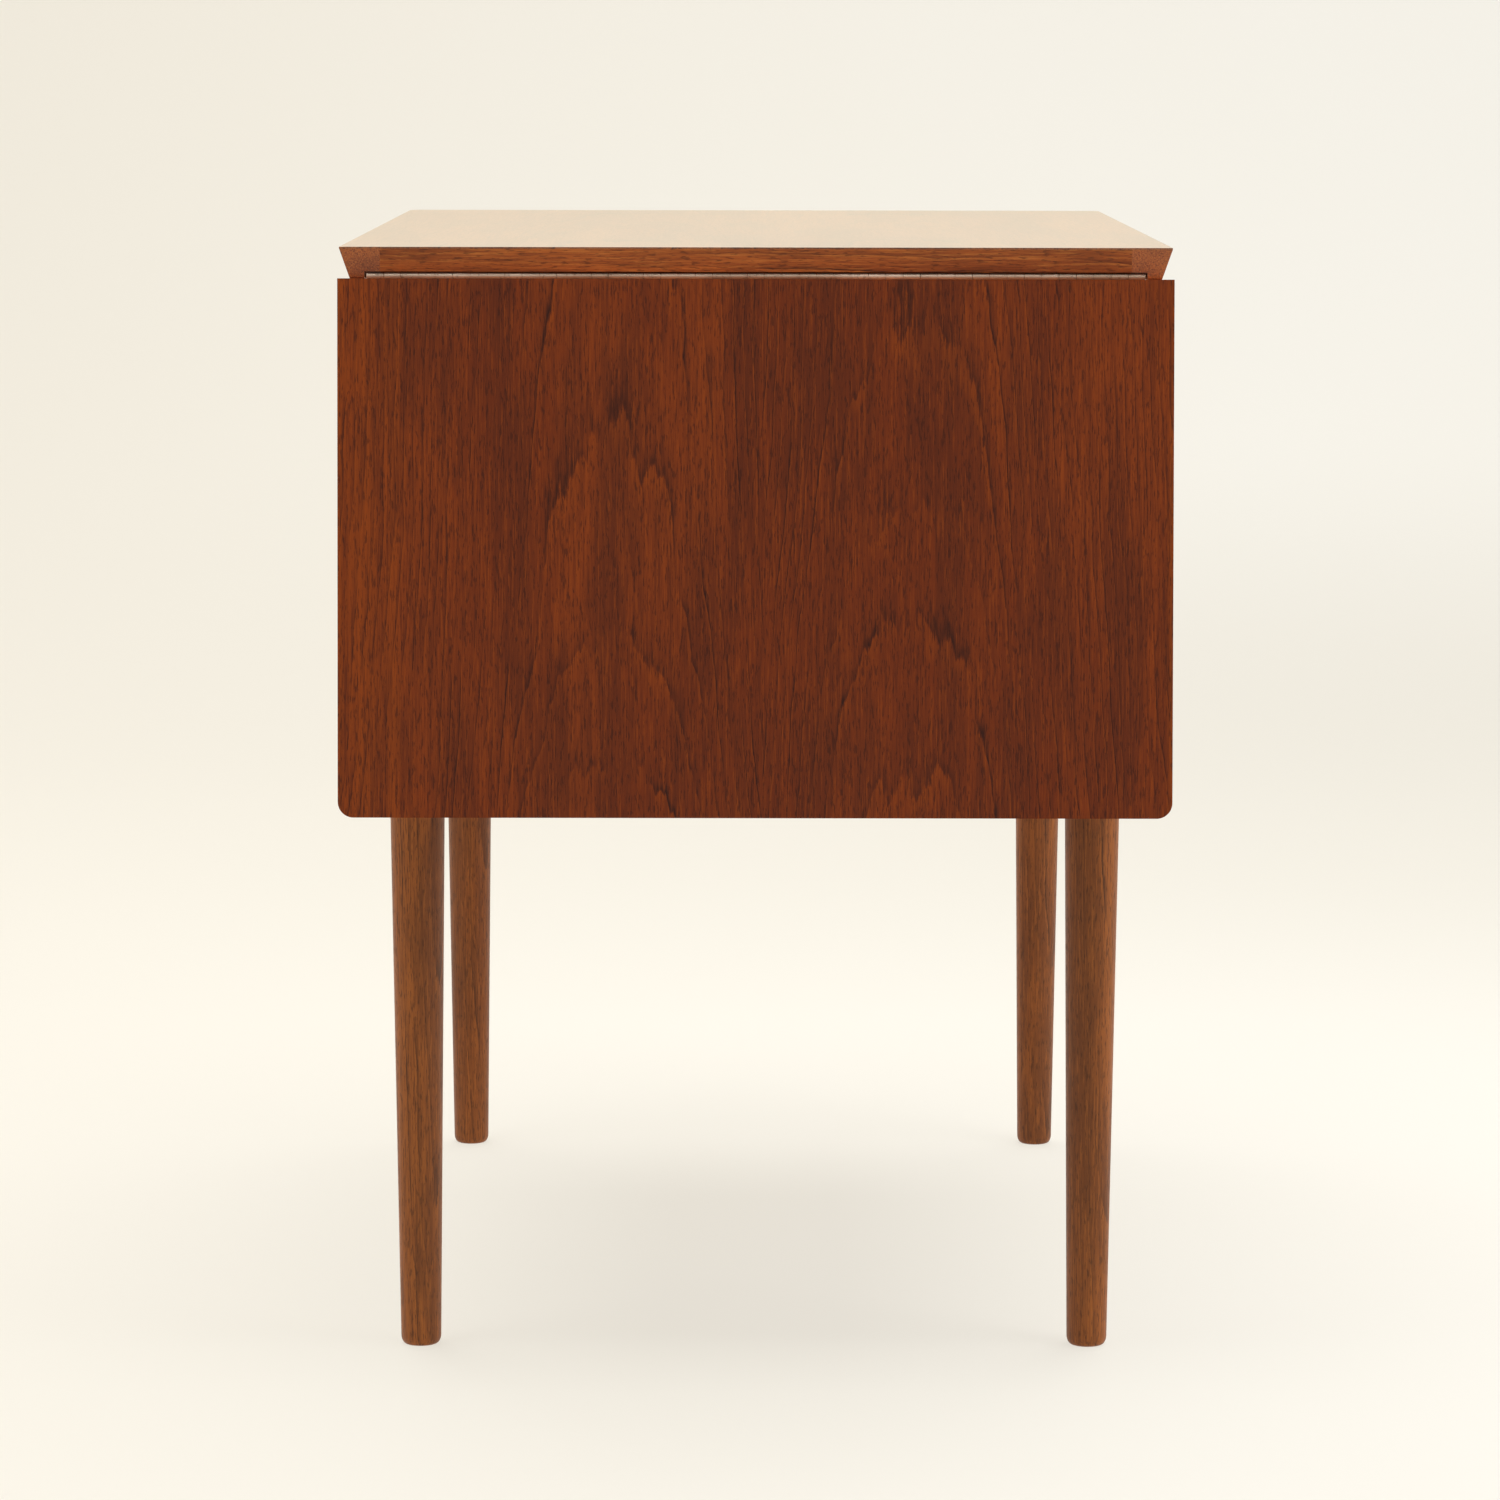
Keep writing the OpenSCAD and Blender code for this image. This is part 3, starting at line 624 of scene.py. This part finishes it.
def metal(name, pale, deep, rough, patchy=14, bare=1.0):
    """A worn metal; patchy is its worn patches per metre, bare how metallic it still is."""
    graph = Graph(name)
    where = graph.add("ShaderNodeTexCoord").outputs["Object"]
    brushed = graph.noise(graph.stretch(where, *BRUSHED), 1.0, 3.0, 0.6)
    worn = graph.noise(where, patchy, 4.0, 0.6)
    spots = graph.remap(graph.noise(where, patchy * 40, 2.0), 0.58, 0.72)
    base = graph.mix(graph.remap(worn, 0.36, 0.64), pale, deep)
    base = graph.mix(graph.times(spots, 0.35), base, srgb(70, 54, 42))
    graph.feed(graph.shader.inputs["Base Color"], base)
    graph.shader.inputs["Metallic"].default_value = bare
    graph.feed(graph.shader.inputs["Roughness"], graph.sum(rough, graph.times(brushed, 0.25)))
    graph.feed(graph.shader.inputs["Normal"], graph.bump(brushed, 0.00005, 0.4))
    return graph.material


hinge_metal = metal("bronzed_steel", srgb(228, 212, 192), srgb(192, 172, 150), 0.5, bare=0.55)
brass = metal("dull_brass", srgb(190, 160, 96), srgb(150, 118, 66), 0.36, patchy=30)
print("metal finishes:", hinge_metal.name, brass.name)

# %% [markdown]
# ## Dressing the pieces
# The finish of a piece follows from its name and the way it is cut from the plank, so one
# set of rules dresses all of them. Sharp edges give a piece away as a drawing, so each piece
# also gets a bevel of a few tenths of a millimetre, which catches the light as a sanded
# arris does. The legs and the hinge need none, as they are round or thin already.

# %% Rules from piece to finish
def finish_for(name):
    """The finish of one piece, from its name."""
    level = next((k for k in fronts if name == f"drawer_{k}_front"), None)
    if level:
        return fronts[level]
    if name in leg_wood:
        return leg_wood[name]
    on_leaf = name.startswith("leaf_")
    if name.endswith("_veneer") or name.endswith("_core"):
        return leaf_veneer if on_leaf else top_veneer
    if name in ("top_edge_left", "top_edge_right", "leaf_edge_left", "leaf_edge_right"):
        return leaf_side_lipping if on_leaf else side_lipping
    if "_edge_" in name:
        return leaf_end_lipping if on_leaf else end_lipping
    if name.startswith("hinge") or name in ("prop_pin", "prop_bracket_screws", "leg_bolts"):
        return hinge_metal
    if name in ("top_screws", "leg_inserts"):
        return brass
    if name.endswith("_knobs"):
        return knob_wood
    if name.startswith("case_end"):
        return case_end
    if name in ("case_back", "case_bottom", "case_rail_front"):
        return case_long
    if name in ("prop_bracket", "support_prop", "leaf_stop"):
        return small_solid
    if name in ("case_dowels", "spool_pegs"):
        return beech_z
    if name.endswith("_back"):
        return beech_y
    return beech_x


print("the top's core is finished in", finish_for("top_core").name)

# %% Arrises, and dressing every piece
# Width of the bevel in metres, by how a piece's name starts
ARRIS = {
    "top_veneer": 0.0006,
    "leaf_veneer": 0.0006,
    "leg": 0.0,
    "hinge": 0.0,
    "top_edge": 0.0005,
    "leaf_edge": 0.0005,
    "case": 0.0008,
    "drawer": 0.0008,
}
OTHER_ARRIS = 0.0004
SHARP = math.radians(35)   # a turn sharper than this counts as an edge


def soften(piece, width):
    """Rounds a piece's sharp edges by a small bevel, without touching its mesh."""
    bevel = piece.modifiers.new("arris", "BEVEL")
    bevel.width = width
    bevel.segments = 2
    bevel.limit_method = "ANGLE"
    bevel.angle_limit = SHARP
    bevel.use_clamp_overlap = True


for name, piece in nodes.items():
    piece.data.materials.clear()
    piece.data.materials.append(finish_for(name))
    width = next((w for start, w in ARRIS.items() if name.startswith(start)), OTHER_ARRIS)
    if width:
        soften(piece, width)
print("pieces dressed:", len(nodes))

# %% [markdown]
# ## The studio
# A pale floor that sweeps up into a wall stands behind the table, so there is no horizon
# line. The top is seen almost edge-on: at that angle lacquer mirrors whatever is behind it,
# and the bright wall is what turns the brown top nearly cream. The sheet also glows, as
# paper lit from behind does. Lamps alone would leave a dark shadow under the table, and the
# glow keeps it pale.

# %% Sweep of floor and wall
def sweep_mesh(name, half_span, near, far, radius, height, steps=24):
    """A sheet that runs along the floor, round a quarter turn and up a wall."""
    outline = [(near, 0.0), (far - radius, 0.0)]
    for step in range(1, steps + 1):
        turn = math.radians(90 * step / steps)
        outline.append((far - radius + radius * math.sin(turn), radius - radius * math.cos(turn)))
    outline.append((far, height))
    mesh = bpy.data.meshes.new(name)
    points = [(side * half_span, y, z) for y, z in outline for side in (-1, 1)]
    faces = [(2 * i, 2 * i + 1, 2 * i + 3, 2 * i + 2) for i in range(len(outline) - 1)]
    mesh.from_pydata(points, [], faces)
    mesh.shade_smooth()
    sheet = bpy.data.objects.new(name, mesh)
    scene.collection.objects.link(sheet)
    return sheet


studio = sweep_mesh("studio_sweep", half_span=9.0, near=-9.0, far=3.4, radius=1.6, height=6.0)
print("studio sweep:", len(studio.data.polygons), "faces")

# %% Paper of the sweep
GLOW = 0.758   # strength of the light from behind the paper

paper = Graph("studio_paper")
spot = paper.add("ShaderNodeTexCoord").outputs["Object"]
mottle = paper.noise(spot, 1.4, 2.0)
side, depth, height = paper.split(spot)[:3]
painted_left_shade = paper.remap(side, 0.9, -1.1)
# The glow is dimmer and warmer on the left, painted shade on the side of the weaker lamp, and
# its floor glows less towards the back, where the lamps reach it most
bend = paper.times(paper.remap(depth, 0.1, 1.5), paper.remap(height, 0.30, 0.02))
glow = paper.mix(mottle, srgb(247, 243, 232), srgb(250, 247, 239))
glow = paper.mix(bend, glow, srgb(234, 229, 217))
# Painted shade: the glow dimmer and warmer on the left
glow = paper.mix(painted_left_shade, glow, srgb(243, 236, 221))
paper.feed(paper.shader.inputs["Emission Color"], glow)
paper.shader.inputs["Emission Strength"].default_value = GLOW
paper.feed(paper.shader.inputs["Base Color"], srgb(104, 102, 97))
paper.shader.inputs["Roughness"].default_value = 0.85
studio.data.materials.append(paper.material)
print("paper glow:", GLOW)

# %% [markdown]
# ## Lights
# The room is lit softly from large windows, with no hard shadow. One sun lamp would draw
# every edge as a sharp shadow, so four area lights stand in for the windows: a wide one
# overhead that whitens the top, a stronger one on the right than on the left so that the
# legs look round, and a faint one on the wall. The side lamps only graze the leaf, which
# stays deep and dark. A weak room light from all round fills what is left.

# %% Lights
def soft_light(name, at, target, size, power):
    """A rectangular lamp at a place, turned to face its target."""
    data = bpy.data.lights.new(name, "AREA")
    data.shape = "RECTANGLE"
    data.size, data.size_y = size
    data.energy = power
    light = bpy.data.objects.new(name, data)
    light.location = at
    light.rotation_mode = "QUATERNION"
    light.rotation_quaternion = (Vector(target) - Vector(at)).to_track_quat("-Z", "Y")
    scene.collection.objects.link(light)
    return light


AIM = (0, 0, 0.35)
# Each has a name, a place, a target, its width and height, and its watts
lamps = [
    soft_light("overhead", (0.0, 0.3, 3.0), (0, 0.2, 0), (3.0, 3.0), 180),
    soft_light("left", (-2.6, -1.2, 1.5), AIM, (1.6, 2.2), 15),
    soft_light("right", (2.6, -1.0, 1.5), AIM, (1.6, 2.2), 36),
    soft_light("wall", (0, 1.2, 3.2), (0, 3.4, 1.2), (5.0, 1.2), 4),
]
print("lamps, in watts:", {lamp.name: lamp.data.energy for lamp in lamps})

# %% Room light
room = bpy.data.worlds.new("room")
room.use_nodes = True
room_light = room.node_tree.nodes["Background"].inputs
room_light["Color"].default_value = srgb(250, 246, 238)
room_light["Strength"].default_value = 0.15
scene.world = room
print("room light:", round(room_light["Strength"].default_value, 2))

# %% [markdown]
# ## The end

# %% The end
print("sizes written for", len(nodes), "pieces")
